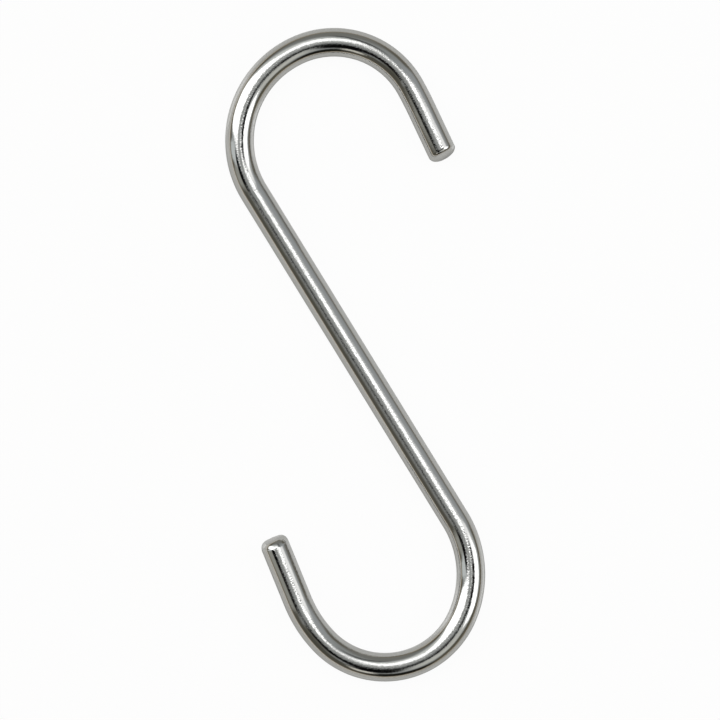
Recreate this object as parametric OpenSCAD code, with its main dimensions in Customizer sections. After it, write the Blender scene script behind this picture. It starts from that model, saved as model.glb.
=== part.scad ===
// S hook bent from one length of round wire. It lies flat: the wire rests on the plane z = 0, the bends
// open in the XY plane, and the load line through the two crowns runs along +Y towards the upper bend.
// The origin is the middle of the hook's plan, on that plane.

/* [Wire] */
// Diameter of the round wire
wire_d = 5; // [3:0.5:8]

/* [Shank] */
// Length of the straight shank between the two bends
shank_l = 66.8; // [50:0.2:90]

/* [Upper bend] */
// Inside radius of the heel, where the bend leaves the shank
upper_heel_r = 14.8; // [12:0.1:18]
// Turn of the heel in degrees
upper_heel_turn = 98.4; // [90:0.2:105]
// Inside radius of the crown, which hangs on the bar
upper_crown_r = 12.7; // [10:0.1:16]
// Turn of the crown in degrees
upper_crown_turn = 84.2; // [75:0.2:90]
// Inside radius of the run-out, where the bend eases into the leg
upper_runout_r = 67.2; // [40:0.2:90]
// Turn of the run-out in degrees
upper_runout_turn = 3.8; // [2:0.2:8]
// Length of the leg from the end of the run-out to the end face
upper_leg_l = 9.3; // [8:0.1:20]

/* [Lower bend] */
// Inside radius of the heel, where the bend leaves the shank
lower_heel_r = 15.9; // [12:0.1:18]
// Turn of the heel in degrees
lower_heel_turn = 54.8; // [45:0.2:65]
// Inside radius of the crown, which the load hangs on
lower_crown_r = 12.2; // [10:0.1:16]
// Turn of the crown in degrees
lower_crown_turn = 113; // [100:0.2:120]
// Inside radius of the run-out, where the bend eases into the leg
lower_runout_r = 19.8; // [15:0.2:30]
// Turn of the run-out in degrees
lower_runout_turn = 21.6; // [12:0.2:26]
// Length of the leg from the end of the run-out to the end face
lower_leg_l = 12; // [8:0.1:20]

/* [Tips] */
// Radius of the rounded rim of each end face
rim_r = 1.1; // [0.3:0.1:1.4]
// Radius of the slight crown on each end face
face_r = 6; // [5:0.5:30]

/* [Hidden] */
$fn = 48;

wire_r = wire_d / 2;

// The rim's circle is centred rim_x off the axis and tip_l short of the end. It meets the side of the
// wire at 0 degrees and the crowned face at face_a.
rim_x = wire_r - rim_r;
face_a = acos(rim_x / (face_r - rim_r));
tip_l = face_r - (face_r - rim_r) * sin(face_a);

// Stretches stop seam_gap short of the seams between them, and a ball seam_proud larger than the wire
// joins them there into one solid.
seam_gap = 0.05;
seam_proud = 0.01;

// Stretches of the centre line from the upper tip to the lower tip: [length, 0] where it is straight,
// and [radius, turn] where it is bent, with a turn to the left positive.
ROUTE = [
    [upper_leg_l - tip_l, 0],
    [upper_runout_r + wire_r, upper_runout_turn],
    [upper_crown_r + wire_r, upper_crown_turn],
    [upper_heel_r + wire_r, upper_heel_turn],
    [shank_l, 0],
    [lower_heel_r + wire_r, -lower_heel_turn],
    [lower_crown_r + wire_r, -lower_crown_turn],
    [lower_runout_r + wire_r, -lower_runout_turn],
    [lower_leg_l - tip_l, 0],
];
LAST = len(ROUTE) - 1;
UPPER_CROWN = 2;
LOWER_CROWN = 6;

// Unit vector at an angle in the plane
function unit(a) = [cos(a), sin(a)];

// Points along a circular arc, the first left out
function arc_points(c, r, from, to, steps) =
    [for (i = [1 : steps]) c + r * unit(from + (to - from) * i / steps)];

// A pose is [point, heading]. A bent stretch's centre lies to the side that it turns to.
function side(s) = sign(s[1]);
function centre(p, s) = p[0] + s[0] * unit(p[1] + 90 * side(s));

// The same point, facing the other way
function turned(p) = [p[0], p[1] + 180];

// The pose at the end of a stretch that starts at a pose
function onward(p, s) =
    s[1] == 0 ? [p[0] + s[0] * unit(p[1]), p[1]] :
    [centre(p, s) - s[0] * unit(p[1] + s[1] + 90 * side(s)), p[1] + s[1]];

// The poses at the starts of all stretches and at the end of the last
function walk(p, i = 0) = i > LAST ? [p] : concat([p], walk(onward(p, ROUTE[i]), i + 1));

// The heading at the upper tip that brings the load line along +Y
TRIAL = walk([[0, 0], 0]);
load_line = centre(TRIAL[UPPER_CROWN], ROUTE[UPPER_CROWN])
    - centre(TRIAL[LOWER_CROWN], ROUTE[LOWER_CROWN]);
heading = 90 - atan2(load_line[1], load_line[0]);

// How far the hook reaches in a direction: a bent stretch counts where its outer side faces that way,
// and each tip counts by both sides of its rim
function faces(p, s, a) = s[1] != 0 && (side(s) * (a - p[1]) + 450) % 360 <= abs(s[1]);
function rim_points(p) = [for (k = [-1, 1]) p[0] + k * rim_x * unit(p[1] + 90)];
function reach(poses, a) = max(concat(
    [for (i = [0 : LAST]) if (faces(poses[i], ROUTE[i], a))
        centre(poses[i], ROUTE[i]) * unit(a) + ROUTE[i][0] + wire_r],
    [for (p = [poses[0], poses[LAST + 1]]) for (q = rim_points(p)) q * unit(a) + rim_r]
));
SQUARED = walk([[0, 0], heading]);
middle = [reach(SQUARED, 0) - reach(SQUARED, 180), reach(SQUARED, 90) - reach(SQUARED, 270)] / 2;
POSES = walk([-middle, heading]);

// Places a shape that runs along +Z so that it runs along a pose's heading
module at_pose(p) {
    translate([p[0][0], p[0][1], wire_r])
        rotate([90, 0, p[1] + 90])
            children();
}

module straight(p, length) {
    at_pose(p)
        translate([0, 0, seam_gap])
            cylinder(h = length - 2 * seam_gap, r = wire_r);
}

module bent(p, s) {
    gap_turn = seam_gap / s[0] * 180 / PI;
    start = s[1] > 0 ? p[1] - 90 : p[1] + s[1] + 90;
    c = centre(p, s);
    translate([c[0], c[1], wire_r])
        rotate([0, 0, start + gap_turn])
            rotate_extrude(angle = abs(s[1]) - 2 * gap_turn)
                translate([s[0], 0])
                    circle(r = wire_r);
}

// A leg and its tip, from the seam with the run-out to the crowned end face
module leg(p, length) {
    at_pose(p)
        rotate_extrude()
            polygon(concat(
                [[0, seam_gap - length], [wire_r, seam_gap - length], [wire_r, 0]],
                arc_points([rim_x, 0], rim_r, 0, face_a, 10),
                arc_points([0, tip_l - face_r], face_r, face_a, 90, 4)
            ));
}

module seam(p) {
    at_pose(p)
        sphere(r = wire_r + seam_proud);
}

module hook() {
    color("silver") {
        leg(turned(POSES[0]), ROUTE[0][0]);
        for (i = [1 : LAST - 1])
            if (ROUTE[i][1] == 0)
                straight(POSES[i], ROUTE[i][0]);
            else
                bent(POSES[i], ROUTE[i]);
        leg(POSES[LAST + 1], ROUTE[LAST][0]);
        for (i = [1 : LAST])
            seam(POSES[i]);
    }
}

hook();
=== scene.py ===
from math import atan2, ceil, cos, degrees, pi, radians, sin

import bpy
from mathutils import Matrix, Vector


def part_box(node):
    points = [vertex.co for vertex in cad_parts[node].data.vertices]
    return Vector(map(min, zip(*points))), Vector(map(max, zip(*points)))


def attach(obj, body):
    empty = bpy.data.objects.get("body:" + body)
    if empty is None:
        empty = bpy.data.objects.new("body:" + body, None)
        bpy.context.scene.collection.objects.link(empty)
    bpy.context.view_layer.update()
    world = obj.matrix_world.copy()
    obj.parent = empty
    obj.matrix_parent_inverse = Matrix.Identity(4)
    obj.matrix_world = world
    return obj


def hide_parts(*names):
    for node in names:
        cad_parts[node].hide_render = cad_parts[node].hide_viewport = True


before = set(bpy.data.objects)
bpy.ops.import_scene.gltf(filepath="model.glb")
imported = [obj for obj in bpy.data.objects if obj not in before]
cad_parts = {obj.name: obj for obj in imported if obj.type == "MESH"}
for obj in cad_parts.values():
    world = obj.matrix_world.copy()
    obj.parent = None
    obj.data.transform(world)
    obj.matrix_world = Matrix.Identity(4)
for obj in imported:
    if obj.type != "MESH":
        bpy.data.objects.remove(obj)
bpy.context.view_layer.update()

# An S hook bent from one length of bright steel wire. It lies flat on the floor of a small white
# studio, and the camera looks straight down on it. Lengths are metres, angles are degrees.
MM = 0.001

# ---------------------------------------------------------------- the wire and its bends
WIRE_R = 2.5 * MM

# Stretches of the centre line from the upper leg to the lower leg: (length, 0) where it is straight,
# and (inside radius, turn) where it is bent, with a turn to the left positive.
UPPER_LEG = 9.3 * MM
UPPER_RUNOUT = (67.2 * MM, 3.8)
UPPER_CROWN = (12.7 * MM, 84.2)
UPPER_HEEL = (14.8 * MM, 98.4)
SHANK = (66.8 * MM, 0)
LOWER_HEEL = (15.9 * MM, -54.8)
LOWER_CROWN = (12.2 * MM, -113)
LOWER_RUNOUT = (19.8 * MM, -21.6)
LOWER_LEG = 12 * MM

ROUTE = [UPPER_RUNOUT, UPPER_CROWN, UPPER_HEEL, SHANK, LOWER_HEEL, LOWER_CROWN, LOWER_RUNOUT]

RING_POINTS = 96        # points round the wire
RING_TURN = 1.5         # a bent stretch has a ring at least this often, in degrees
LEG_RINGS = 6           # rings along a leg before its tip
TIP_ROOM = 5 * MM       # a leg's last square ring stands this far before the tip's first

# Each end was cropped a little off square and tumbled. Its face leans back by "lean", and the leg is
# turned about its own axis by "roll", so that the face looks a little to one side too. The middle of
# the face lies "back" from the end of the leg. "rim_top" and "rim_below" are the radii of its rounded
# rim, and "dome" is the height of its slight crown.
RIM_SIDE = 1.1 * MM
UPPER_TIP = dict(lean=17, roll=12, back=0.42 * MM, rim_top=1.0 * MM, rim_below=1.0 * MM, dome=0.12 * MM)
LOWER_TIP = dict(lean=8, roll=10, back=0.27 * MM, rim_top=1.9 * MM, rim_below=1.0 * MM, dome=0.12 * MM)
RIM_RINGS = 16
FACE_RINGS = 6
DOME_EDGE = 0.12        # share of the face's width that its last ring keeps before it closes


def unit(angle):
    """The unit vector at an angle in the floor's plane."""
    return Vector((cos(radians(angle)), sin(radians(angle)), 0))


def centre_radius(stretch):
    return stretch[0] + WIRE_R


def bend_centre(point, heading, stretch):
    side = 90 if stretch[1] > 0 else -90
    return point + centre_radius(stretch) * unit(heading + side)


def onward(point, heading, stretch):
    """The point and heading at the end of a stretch that starts at a point and heading."""
    length, turn = stretch
    if turn == 0:
        return point + length * unit(heading), heading
    side = 90 if turn > 0 else -90
    centre = bend_centre(point, heading, stretch)
    return centre - centre_radius(stretch) * unit(heading + turn + side), heading + turn


def walk(heading):
    """The poses at the starts of all stretches and at the end of the last."""
    poses = [(Vector((0, 0, WIRE_R)), heading)]
    for stretch in ROUTE:
        poses.append(onward(*poses[-1], stretch))
    return poses


def load_line_heading():
    """The first heading that brings the line through the two crowns along +Y."""
    poses = walk(0)
    upper = bend_centre(*poses[ROUTE.index(UPPER_CROWN)], UPPER_CROWN)
    lower = bend_centre(*poses[ROUTE.index(LOWER_CROWN)], LOWER_CROWN)
    line = upper - lower
    return 90 - degrees(atan2(line.y, line.x))


# ---------------------------------------------------------------- modelling
def deselect():
    if bpy.context.mode != "OBJECT":
        bpy.ops.object.mode_set(mode="OBJECT")
    bpy.ops.object.select_all(action="DESELECT")


def start_ring(name, point=(0, 0, WIRE_R), heading=0):
    """A new object that is one open ring across the wire, in edit mode with the ring selected."""
    deselect()
    bpy.ops.mesh.primitive_circle_add(vertices=RING_POINTS, radius=WIRE_R, location=point,
                                      rotation=(0, pi / 2, radians(heading)))
    piece = bpy.context.object
    piece.name = piece.data.name = name
    bpy.ops.object.transform_apply(location=True, rotation=True, scale=True)
    bpy.ops.object.mode_set(mode="EDIT")
    bpy.ops.mesh.select_mode(type="EDGE")
    bpy.ops.mesh.select_all(action="SELECT")
    return piece


def extrude_ring(step):
    bpy.ops.mesh.extrude_region_move(TRANSFORM_OT_translate={"value": tuple(step)})


def draw_stretch(pose, stretch):
    """Carries the selected ring along one stretch of the wire."""
    if stretch[1] == 0:
        extrude_ring(stretch[0] * unit(pose[1]))
        return
    # Without a window, spin turns clockwise for a positive angle
    bpy.ops.mesh.spin(steps=ceil(abs(stretch[1]) / RING_TURN), angle=-radians(stretch[1]),
                      center=bend_centre(*pose, stretch), axis=(0, 0, 1))


class TipRing:
    """One ring of a tip that runs along +X: an upright ellipse, leaned back by an angle."""

    def __init__(self, top, below, half_width):
        self.centre = (top + below) / 2
        self.half_width = half_width
        self.half_height = (top - below).length / 2
        self.lean = atan2(below.x - top.x, top.z - below.z)


def reshape_ring(old, new):
    """Extrudes the selected ring from one tip ring and makes it the next one."""
    extrude_ring(new.centre - old.centre)
    # Without a window, rotate turns a positive angle about +Y from +Z towards -X
    bpy.ops.transform.rotate(value=-old.lean, orient_axis="Y", center_override=new.centre)
    bpy.ops.transform.resize(value=(1, new.half_width / old.half_width,
                                    new.half_height / old.half_height),
                             center_override=new.centre)
    bpy.ops.transform.rotate(value=new.lean, orient_axis="Y", center_override=new.centre)


def tip_rings(length, tip):
    """The rings round the tip of a leg that ends at a length from the origin."""
    lean = radians(tip["lean"])
    outward = Vector((cos(lean), 0, sin(lean)))
    middle = Vector((length - tip["back"], 0, WIRE_R))

    def rim_centre(rim, up):
        # The rim's circle touches the side of the wire and the flat of the face
        z = up * (WIRE_R - rim)
        return middle + Vector(((-rim - z * outward.z) / outward.x, 0, z))

    top_centre = rim_centre(tip["rim_top"], 1)
    below_centre = rim_centre(tip["rim_below"], -1)
    rings = []
    for i in range(RIM_RINGS + 1):
        share = i / RIM_RINGS
        top_angle = pi / 2 - share * (pi / 2 - lean)
        below_angle = -pi / 2 + share * (pi / 2 + lean)
        top = top_centre + tip["rim_top"] * Vector((cos(top_angle), 0, sin(top_angle)))
        below = below_centre + tip["rim_below"] * Vector((cos(below_angle), 0, sin(below_angle)))
        rings.append(TipRing(top, below, WIRE_R - RIM_SIDE * (1 - cos(share * pi / 2))))
    rim = rings[-1]
    top = rim.centre + rim.half_height * Vector((-sin(lean), 0, cos(lean)))
    below = 2 * rim.centre - top
    for i in range(1, FACE_RINGS + 1):
        size = 1 - (1 - DOME_EDGE) * i / FACE_RINGS
        rise = tip["dome"] * (1 - size ** 2) * outward
        centre = rim.centre + rise
        rings.append(TipRing(centre + size * (top - rim.centre), centre + size * (below - rim.centre),
                             size * rim.half_width))
    return rings


def make_leg(name, length, tip):
    """A straight leg that runs along +X from its seam with the bend, and its tip."""
    piece = start_ring(name)
    rings = tip_rings(length, tip)
    straight = rings[0].centre.x - TIP_ROOM
    for _ in range(LEG_RINGS):
        extrude_ring((straight / LEG_RINGS, 0, 0))
    end = Vector((straight, 0, WIRE_R))
    up = Vector((0, 0, WIRE_R))
    square = TipRing(end + up, end - up, WIRE_R)
    for old, new in zip([square] + rings, rings):
        reshape_ring(old, new)
    bpy.ops.mesh.merge(type="CENTER")
    bpy.ops.mesh.select_all(action="SELECT")
    # Without a window, a positive angle about +X turns +Z towards +Y
    bpy.ops.transform.rotate(value=radians(tip["roll"]), orient_axis="X",
                             center_override=(0, 0, WIRE_R))
    bpy.ops.object.mode_set(mode="OBJECT")
    return piece


def place(piece, point, heading):
    """Turns a leg from +X to its heading and moves its seam to a point."""
    deselect()
    piece.select_set(True)
    bpy.context.view_layer.objects.active = piece
    piece.rotation_euler.z = radians(heading)
    piece.location = (point.x, point.y, 0)
    bpy.ops.object.transform_apply(location=True, rotation=True, scale=True)


def make_hook():
    poses = walk(load_line_heading())
    first, last = poses[0], poses[-1]
    hook = start_ring("hook_wire", *first)
    for pose, stretch in zip(poses, ROUTE):
        draw_stretch(pose, stretch)
    bpy.ops.object.mode_set(mode="OBJECT")
    upper_leg = make_leg("upper_leg", UPPER_LEG, UPPER_TIP)
    place(upper_leg, first[0], first[1] + 180)
    lower_leg = make_leg("lower_leg", LOWER_LEG, LOWER_TIP)
    place(lower_leg, *last)

    # Each leg stays a shell of its own in the joined mesh, with an open ring at its seam. The ring has the
    # bend's middle and radius, but the leg's roll sets its points between those of the bend's ring.
    deselect()
    for piece in (upper_leg, lower_leg, hook):
        piece.select_set(True)
    bpy.context.view_layer.objects.active = hook
    bpy.ops.object.join()

    # The finished hook takes the CAD hook's place, by the middle of its plan and the floor under it
    low, high = (Vector(corner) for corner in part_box("hook"))
    corners = [Vector(corner) for corner in hook.bound_box]
    own_low, own_high = corners[0], corners[6]
    move = (low + high - own_low - own_high) / 2
    hook.location = (move.x, move.y, 0)
    bpy.ops.object.transform_apply(location=True, rotation=True, scale=True)

    bpy.ops.object.mode_set(mode="EDIT")
    bpy.ops.mesh.select_all(action="SELECT")
    bpy.ops.mesh.normals_make_consistent(inside=False)
    bpy.ops.object.mode_set(mode="OBJECT")
    bpy.ops.object.shade_smooth()
    return hook


# ---------------------------------------------------------------- shader nodes
class Socket:
    """A node's output that takes part in Python sums. Each sum adds its Math node."""

    def __init__(self, nodes, socket):
        self.nodes = nodes
        self.socket = socket

    def calc(self, operation, *values):
        return self.nodes.add("Math", {"operation": operation}, dict(enumerate(values)))

    def __add__(self, other):
        return self.calc("ADD", self, other)

    def __sub__(self, other):
        return self.calc("SUBTRACT", self, other)

    def __rsub__(self, other):
        return self.calc("SUBTRACT", other, self)

    def __mul__(self, other):
        return self.calc("MULTIPLY", self, other)

    def __truediv__(self, other):
        return self.calc("DIVIDE", self, other)

    def __pow__(self, other):
        return self.calc("POWER", self, other)

    __radd__ = __add__
    __rmul__ = __mul__


class Nodes:
    """The node tree of a material or world."""

    def __init__(self, owner):
        owner.use_nodes = True
        self.tree = owner.node_tree
        self.tree.nodes.clear()

    def add(self, kind, settings={}, inputs={}, output=0):
        """Adds a node, sets it up, fills its sockets with values or links, and returns an output."""
        node = self.tree.nodes.new("ShaderNode" + kind)
        for name, value in settings.items():
            setattr(node, name, value)
        for name, value in inputs.items():
            if isinstance(value, Socket):
                self.tree.links.new(value.socket, node.inputs[name])
            else:
                node.inputs[name].default_value = value
        return Socket(self, node.outputs[output]) if node.outputs else None

    def mix(self, under, over, share):
        """One colour over another, by a share from 0 to 1."""
        return self.add("Mix", {"data_type": "RGBA"}, {0: share, 6: under, 7: over}, 2)

    def ease(self, value, start, end):
        """0 where a value is at start, 1 where it is at end, and smooth between."""
        return self.add("MapRange", {"interpolation_type": "SMOOTHSTEP"},
                        {"Value": value, "From Min": start, "From Max": end})


def colour(red, green, blue):
    return (red, green, blue, 1)


# ---------------------------------------------------------------- finish
STEEL = colour(0.55, 0.55, 0.54)
EDGE_TINT = colour(0.7, 0.7, 0.7)
PIT_SIZE = 0.24 * MM
RIPPLE_SIZE = 2.2 * MM
BLOOM_SIZE = 6 * MM
RELIEF_DEPTH = 0.015 * MM
PITS, PITS_ON_CREST, RIPPLE = 0.24, 0.9, 0.7        # their shares of that depth
POLISH, FROST, FROST_ON_CREST = 0.04, 0.07, 0.05    # the roughness, and what frost adds to it
CREST_FROM, CREST_TO = 0.89, 0.97       # squared heights off the wire's middle, in radii
FROST_FROM, FROST_TO = 0.45, 0.70       # pattern values between which frost sets in
BLOOM_SHARE = 0.3       # of the wide pattern in the frost


def bright_wire():
    """Bright steel wire, tumbled after bending, so that its shine is broken by a fine pitting."""
    material = bpy.data.materials.new("bright_wire")
    steel = Nodes(material)
    place_on_wire = steel.add("TexCoord", output="Object")

    def speckle(size, detail):
        return steel.add("TexNoise", {"noise_dimensions": "3D"},
                         {"Vector": place_on_wire, "Scale": 1 / size, "Detail": detail,
                          "Roughness": 0.6})

    # The crests of the wire, above and below, are rubbed by what the hook lies on
    height = steel.add("SeparateXYZ", {}, {0: place_on_wire}, 2) / WIRE_R - 1
    crest = steel.ease(height * height, CREST_FROM, CREST_TO)
    pits = speckle(PIT_SIZE, 1)
    relief = (PITS + PITS_ON_CREST * crest) * pits + RIPPLE * speckle(RIPPLE_SIZE, 1)
    normal = steel.add("Bump", {}, {"Height": relief, "Strength": 1, "Distance": RELIEF_DEPTH})
    bloom = speckle(BLOOM_SIZE, 3) - 0.5
    frost = steel.ease(pits + BLOOM_SHARE * bloom, FROST_FROM, FROST_TO)
    shader = steel.add("BsdfPrincipled", {}, {
        "Base Color": STEEL,
        "Metallic": 1,
        "Specular Tint": EDGE_TINT,
        "Roughness": POLISH + (FROST + FROST_ON_CREST * crest) * frost,
        "Normal": normal,
    })
    steel.add("OutputMaterial", {}, {"Surface": shader})
    return material


# ---------------------------------------------------------------- stage
FLOOR_RINGS = [0.3, 1.2, 5, 20]     # radii, in metres
FLOOR_POINTS = 96       # points round the floor
MIRROR_SHADE_FROM, MIRROR_SHADE_TO = 0.07, 0.14     # distances over which the floor, as the metal mirrors it, turns to a painted darker, warm shade
PAPER = colour(0.88, 0.87, 0.84)
# Painted shade: a darker, warm tone that only the metal sees in the far floor, never the eye
PAINTED_MIRROR_SHADE = colour(0.34, 0.29, 0.21)
PAPER_ROUGHNESS, PAPER_IOR = 0.2, 2.6
EYE_GLOW = 0.95         # share of plain white in the floor that the eye sees: the rest keeps the shadow
METAL_GLOW = 0.25       # the same in the floor that the metal mirrors


def white_floor():
    """Plain white paper with a slight sheen. The eye sees it as white with a trace of a shadow. In the
    metal, its far part shows a painted darker, warm shade.
    """
    material = bpy.data.materials.new("white_floor")
    paper = Nodes(material)
    to_eye = paper.add("LightPath", output="Is Camera Ray")
    to_metal = (paper.add("LightPath", output="Is Glossy Ray")
                + paper.add("LightPath", output="Is Transmission Ray"))
    place_on_floor = paper.add("TexCoord", output="Object")
    away = paper.add("VectorMath", {"operation": "LENGTH"}, {0: place_on_floor}, "Value")
    # Painted shade in the reflection: the far floor turns darker and warm for the metal only
    painted_mirror_shade = paper.ease(away, MIRROR_SHADE_FROM, MIRROR_SHADE_TO) * to_metal
    lit = paper.add("BsdfPrincipled", {}, {
        "Base Color": paper.mix(PAPER, PAINTED_MIRROR_SHADE, painted_mirror_shade),
        "Roughness": PAPER_ROUGHNESS,
        "IOR": PAPER_IOR,
    })
    glow = paper.add("Emission", {}, {"Color": colour(1, 1, 1), "Strength": 1})
    shader = paper.add("MixShader", {}, {0: EYE_GLOW * to_eye + METAL_GLOW * to_metal,
                                         1: lit, 2: glow})
    paper.add("OutputMaterial", {}, {"Surface": shader})
    return material


def make_floor():
    """A flat round floor that runs out to the horizon, in rings that keep its middle precise."""
    deselect()
    reached = FLOOR_RINGS[0]
    bpy.ops.mesh.primitive_circle_add(vertices=FLOOR_POINTS, radius=reached, fill_type="NGON")
    floor = bpy.context.object
    floor.name = floor.data.name = "floor"
    bpy.ops.object.mode_set(mode="EDIT")
    bpy.ops.mesh.select_mode(type="EDGE")
    for radius in FLOOR_RINGS[1:]:
        bpy.ops.mesh.select_all(action="SELECT")
        bpy.ops.mesh.region_to_loop()
        extrude_ring((0, 0, 0))
        bpy.ops.transform.resize(value=(radius / reached, radius / reached, 1),
                                 center_override=(0, 0, 0))
        reached = radius
    bpy.ops.mesh.select_all(action="SELECT")
    bpy.ops.mesh.normals_make_consistent(inside=False)
    bpy.ops.object.mode_set(mode="OBJECT")
    floor.data.materials.append(white_floor())
    return floor


# ---------------------------------------------------------------- studio
CAMERA_ROLL = -6.383    # turn of the view's up from +Y, in degrees
CAMERA_HEIGHT = 2.5     # above the middle of the wire
VIEW_WIDTH = 125.44 * MM
VIEW_CENTRE = Vector((0.078 * MM, -0.928 * MM, WIRE_R))

# The room as a mirror ball on the floor shows it from above: each patch lies at (right, up), with the
# ball's rim at 1 and the horizon at 0.71. A patch has a half size, a turn, the softness of its edge as
# a share of its size, and a colour. A later patch lies over those before it.
ROOM = [
    # walls: dull at the top, a warm stretch at the upper right, and a cooler one beside it
    dict(at=(0.05, 0.58), size=(0.34, 0.15), turn=0, edge=0.5, colour=(0.26, 0.26, 0.24)),
    dict(at=(0.50, 0.38), size=(0.27, 0.09), turn=-50, edge=0.5, colour=(0.18, 0.17, 0.14)),
    dict(at=(0.36, 0.24), size=(0.20, 0.08), turn=25, edge=0.6, colour=(0.46, 0.48, 0.49)),
    # warm dim lower left, darker below
    dict(at=(-0.38, -0.27), size=(0.26, 0.11), turn=32, edge=0.5, colour=(0.15, 0.145, 0.12)),
    dict(at=(-0.27, -0.43), size=(0.26, 0.12), turn=-28, edge=0.4, colour=(0.11, 0.105, 0.085)),
    dict(at=(-0.45, -0.155), size=(0.13, 0.055), turn=20, edge=0.5, colour=(0.42, 0.42, 0.38)),
    # halo of the window
    dict(at=(-0.25, 0.21), size=(0.30, 0.16), turn=0, edge=0.35, colour=(0.90, 0.92, 0.89)),
    # halo of the lamp, and the pale wall under it
    dict(at=(0.41, -0.04), size=(0.17, 0.20), turn=0, edge=0.45, colour=(0.82, 0.84, 0.84)),
    dict(at=(0.25, -0.29), size=(0.15, 0.11), turn=10, edge=0.5, colour=(0.76, 0.76, 0.71)),
    # dark lower right and bottom
    dict(at=(0.48, -0.38), size=(0.28, 0.09), turn=50, edge=0.4, colour=(0.14, 0.13, 0.10)),
    dict(at=(0.11, -0.55), size=(0.20, 0.085), turn=0, edge=0.4, colour=(0.015, 0.015, 0.012)),
    # pale strip left, under the window
    dict(at=(-0.47, -0.04), size=(0.14, 0.05), turn=0, edge=0.45, colour=(0.80, 0.84, 0.84)),
    # camera overhead: its arm and body, and its right side
    dict(at=(-0.135, -0.20), size=(0.19, 0.085), turn=-39, edge=0.35, colour=(0.004, 0.004, 0.004)),
    dict(at=(-0.03, -0.29), size=(0.10, 0.12), turn=0, edge=0.35, colour=(0.004, 0.004, 0.004)),
    dict(at=(-0.26, -0.07), size=(0.09, 0.06), turn=15, edge=0.3, colour=(0.003, 0.003, 0.003)),
    dict(at=(0.08, -0.15), size=(0.13, 0.07), turn=-20, edge=0.5, colour=(0.01, 0.01, 0.01)),
    dict(at=(0.19, -0.02), size=(0.10, 0.085), turn=20, edge=0.3, colour=(0.004, 0.004, 0.004)),
    # light between the camera's arm and its body, and the pale ceiling round its lens
    dict(at=(-0.19, -0.118), size=(0.17, 0.013), turn=32, edge=0.6, colour=(0.36, 0.37, 0.36)),
    dict(at=(0.0, 0.0), size=(0.092, 0.092), turn=0, edge=0.9, colour=(0.48, 0.49, 0.48)),
    # small lamp
    dict(at=(-0.115, -0.45), size=(0.065, 0.05), turn=0, edge=0.5, colour=(0.85, 0.82, 0.74)),
    # window
    dict(at=(-0.32, 0.155), size=(0.235, 0.14), turn=-15, edge=0.12, colour=(2.4, 2.4, 2.4)),
    dict(at=(-0.03, 0.195), size=(0.115, 0.09), turn=-15, edge=0.4, colour=(2.1, 2.1, 2.1)),
    dict(at=(0.15, 0.082), size=(0.12, 0.026), turn=28, edge=0.35, colour=(3.0, 3.0, 3.0)),
    # dark frame right of the window
    dict(at=(0.08, 0.36), size=(0.035, 0.12), turn=49, edge=0.5, colour=(0.13, 0.135, 0.13)),
    # lamp, and its glow on the wall above it
    dict(at=(0.33, 0.12), size=(0.09, 0.05), turn=20, edge=0.6, colour=(1.4, 1.4, 1.4)),
    dict(at=(0.415, -0.04), size=(0.115, 0.16), turn=0, edge=0.15, colour=(2.4, 2.4, 2.4)),
]
WALL_COLOUR = colour(0.38, 0.395, 0.39)
# Rings round a middle a little off the zenith, because the paper sweeps up at the lower left: the walls
# darken downwards, and past the dark gap under them comes the paper
SWEEP_MIDDLE = (0.03, 0.02)
SHADE = dict(inner=0.50, rise=0.12, tone=(0.14, 0.13, 0.10))
SKIRTING = dict(inner=0.645, rise=0.03, tone=(0.33, 0.27, 0.18))
SWEEP = dict(inner=0.68, rise=0.03, tone=(0.78, 0.76, 0.71))


def make_room():
    """Surroundings that the wire mirrors: dim walls, a window, a lamp, and the dark camera above."""
    world = bpy.data.worlds.new("room")
    bpy.context.scene.world = world
    room = Nodes(world)
    direction = room.add("TexCoord", output="Generated")
    x, y, z = (room.add("SeparateXYZ", {}, {0: direction}, axis) for axis in range(3))
    # 2.001 in place of 2 keeps this off zero straight down, because right and up are divided by it
    stretch = (2.001 + 2 * z) ** 0.5
    roll = radians(CAMERA_ROLL)
    right = (cos(roll) * x + sin(roll) * y) / stretch
    up = (cos(roll) * y - sin(roll) * x) / stretch

    def patch(at, size, turn, edge):
        c, s = cos(radians(turn)), sin(radians(turn))
        across = (c * (right - at[0]) + s * (up - at[1])) / size[0]
        along = (c * (up - at[1]) - s * (right - at[0])) / size[1]
        reach = (across ** 4 + along ** 4) ** 0.25
        return room.ease(reach, 1 + edge, 1 - edge)

    across, along = right - SWEEP_MIDDLE[0], up - SWEEP_MIDDLE[1]
    out = (across * across + along * along) ** 0.5

    def ring(light, inner, rise, tone):
        return room.mix(light, colour(*tone), room.ease(out, inner, inner + rise))

    light = ring(WALL_COLOUR, **SHADE)
    for spot in ROOM:
        light = room.mix(light, colour(*spot["colour"]),
                         patch(spot["at"], spot["size"], spot["turn"], spot["edge"]))
    light = ring(ring(light, **SKIRTING), **SWEEP)
    to_eye = room.add("LightPath", output="Is Camera Ray")
    seen = room.mix(light, colour(1, 1, 1), to_eye)
    background = room.add("Background", {}, {"Color": seen, "Strength": 1})
    room.add("OutputWorld", {}, {"Surface": background})


def make_camera():
    data = bpy.data.cameras.new("camera")
    camera = bpy.data.objects.new("camera", data)
    bpy.context.collection.objects.link(camera)
    bpy.context.scene.camera = camera
    camera.location = VIEW_CENTRE + Vector((0, 0, CAMERA_HEIGHT))
    camera.rotation_euler.z = radians(CAMERA_ROLL)
    data.sensor_width = 36
    data.lens = data.sensor_width * CAMERA_HEIGHT / VIEW_WIDTH
    data.clip_start = 0.01
    data.clip_end = 50


# ---------------------------------------------------------------- the scene
make_camera()
hook = make_hook()
hook.data.materials.append(bright_wire())
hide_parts("hook")
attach(hook, "root")
make_floor()
make_room()

scene = bpy.context.scene
scene.view_settings.view_transform = "Standard"
